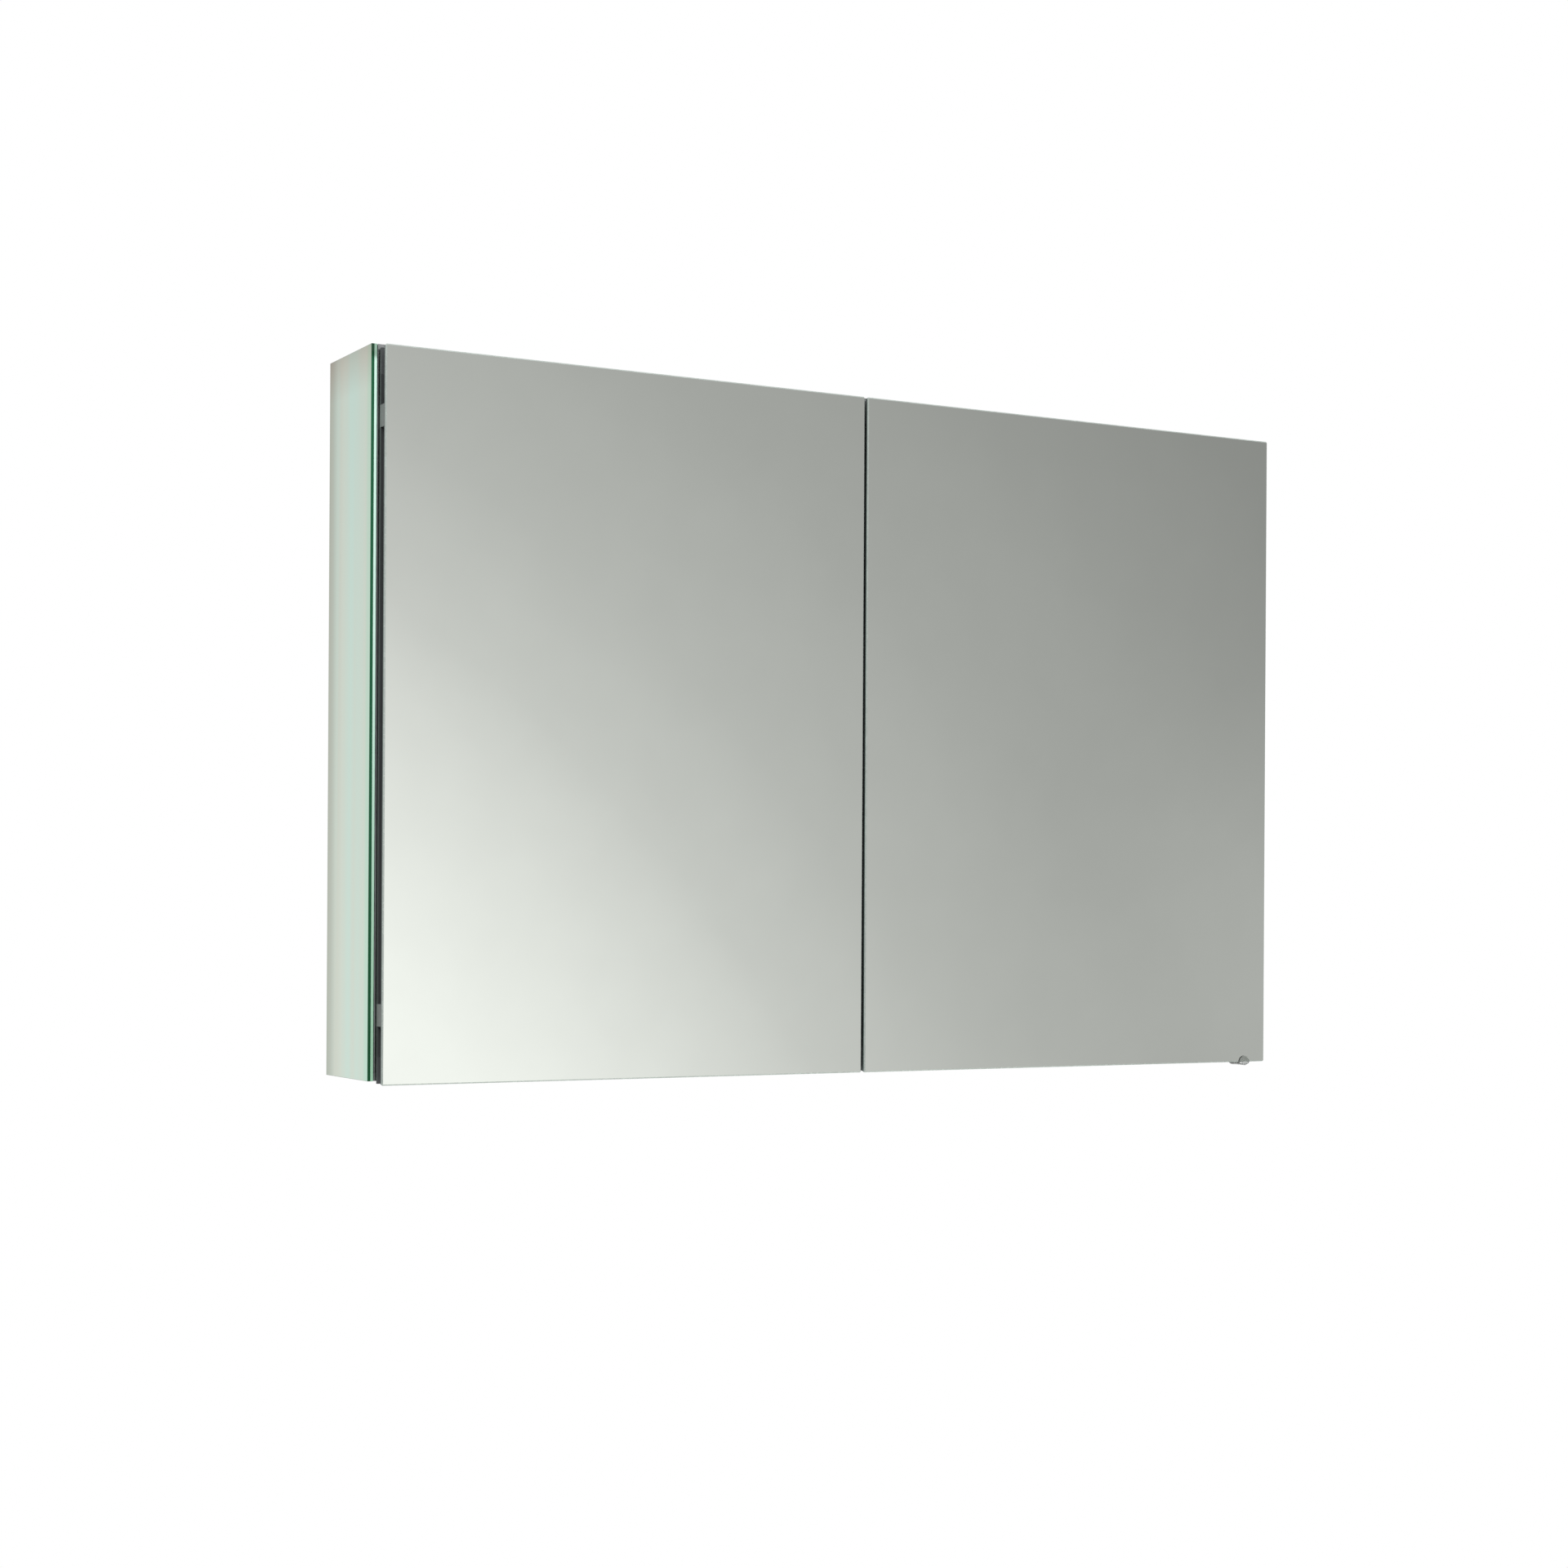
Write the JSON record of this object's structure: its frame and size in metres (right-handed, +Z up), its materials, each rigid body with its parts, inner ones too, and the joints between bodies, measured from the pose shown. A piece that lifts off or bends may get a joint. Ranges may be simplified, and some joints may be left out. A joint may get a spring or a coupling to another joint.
{
  "type": "hanging wall cabinet",
  "caption": "Shallow aluminium wall cabinet for a bathroom with mirrored swing doors, mirrored sides, a mirrored back, glass shelves and concealed hinges.",
  "frame": {"origin": "on the wall plane, at the middle of the four wall screws, which is the middle of the cabinet's width and of its height", "axes": "+X right as seen from the front, +Y back into the wall, +Z up; the doors face -Y"},
  "size_m": [1.003, 0.128, 0.6635],
  "materials": {
    "mirror_glass": "silvered float glass",
    "side_mirror_glass": "silvered float glass with green polished edges",
    "shelf_glass": "clear tempered glass with polished edges",
    "case_aluminium": "satin anodised",
    "frame_aluminium": "satin anodised, grey",
    "grey_plastic": "moulded",
    "white_plastic": "moulded",
    "clear_plastic": "clear, smooth",
    "hinge_zinc": "nickel-plated die-cast zinc",
    "hinge_steel": "nickel-plated pressed steel",
    "plated_steel": "zinc-plated",
    "dark_screws": "blackened",
    "sheet_steel": "coated steel sheet",
    "foam_tape": "closed-cell foam"
  },
  "bodies": {
    "case": {"top_panel": "case_aluminium", "bottom_panel": "case_aluminium", "left_side_panel": "case_aluminium", "right_side_panel": "case_aluminium", "back_sheet": "sheet_steel", "inner_mirror": "mirror_glass", "upper_mount_rail": "case_aluminium", "lower_mount_rail": "case_aluminium", "left_side_mirror": "side_mirror_glass", "right_side_mirror": "side_mirror_glass", "left_mirror_tape": "foam_tape", "right_mirror_tape": "foam_tape", "upper_shelf": "shelf_glass", "lower_shelf": "shelf_glass", "upper_shelf_pins": "plated_steel", "lower_shelf_pins": "plated_steel", "case_screws": "plated_steel", "back_rivets": "plated_steel", "mount_bushes": "white_plastic", "door_bumpers": "clear_plastic", "left_upper_hinge_plate": "hinge_steel", "left_lower_hinge_plate": "hinge_steel", "right_upper_hinge_plate": "hinge_steel", "right_lower_hinge_plate": "hinge_steel", "left_upper_hinge_arm": "hinge_steel", "left_lower_hinge_arm": "hinge_steel", "right_upper_hinge_arm": "hinge_steel", "right_lower_hinge_arm": "hinge_steel", "hinge_plate_screws": "plated_steel", "hinge_adjust_screws": "plated_steel"},
    "left_door": {"left_door_front_mirror": "mirror_glass", "left_door_back_mirror": "mirror_glass", "left_door_hinge_stile": "frame_aluminium", "left_door_lock_stile": "frame_aluminium", "left_door_top_rail": "frame_aluminium", "left_door_bottom_rail": "frame_aluminium", "left_door_corner_blocks": "grey_plastic", "left_upper_hinge_box": "hinge_zinc", "left_lower_hinge_box": "hinge_zinc", "left_hinge_pins": "plated_steel", "left_hinge_box_screws": "dark_screws"},
    "right_door": {"right_door_front_mirror": "mirror_glass", "right_door_back_mirror": "mirror_glass", "right_door_hinge_stile": "frame_aluminium", "right_door_lock_stile": "frame_aluminium", "right_door_top_rail": "frame_aluminium", "right_door_bottom_rail": "frame_aluminium", "right_door_corner_blocks": "grey_plastic", "right_upper_hinge_box": "hinge_zinc", "right_lower_hinge_box": "hinge_zinc", "right_hinge_pins": "plated_steel", "right_hinge_box_screws": "dark_screws", "door_edge_clip": "clear_plastic"}
  },
  "joints": [
    {"name": "left_door_hinge", "type": "hinge", "parent": "case", "child": "left_door", "pos_m": [-0.4895, -0.117, 0], "axis": [0, 0, -1], "range_deg": [0, 105]},
    {"name": "right_door_hinge", "type": "hinge", "parent": "case", "child": "right_door", "pos_m": [0.4895, -0.117, 0], "axis": [0, 0, 1], "range_deg": [0, 105]}
  ]
}
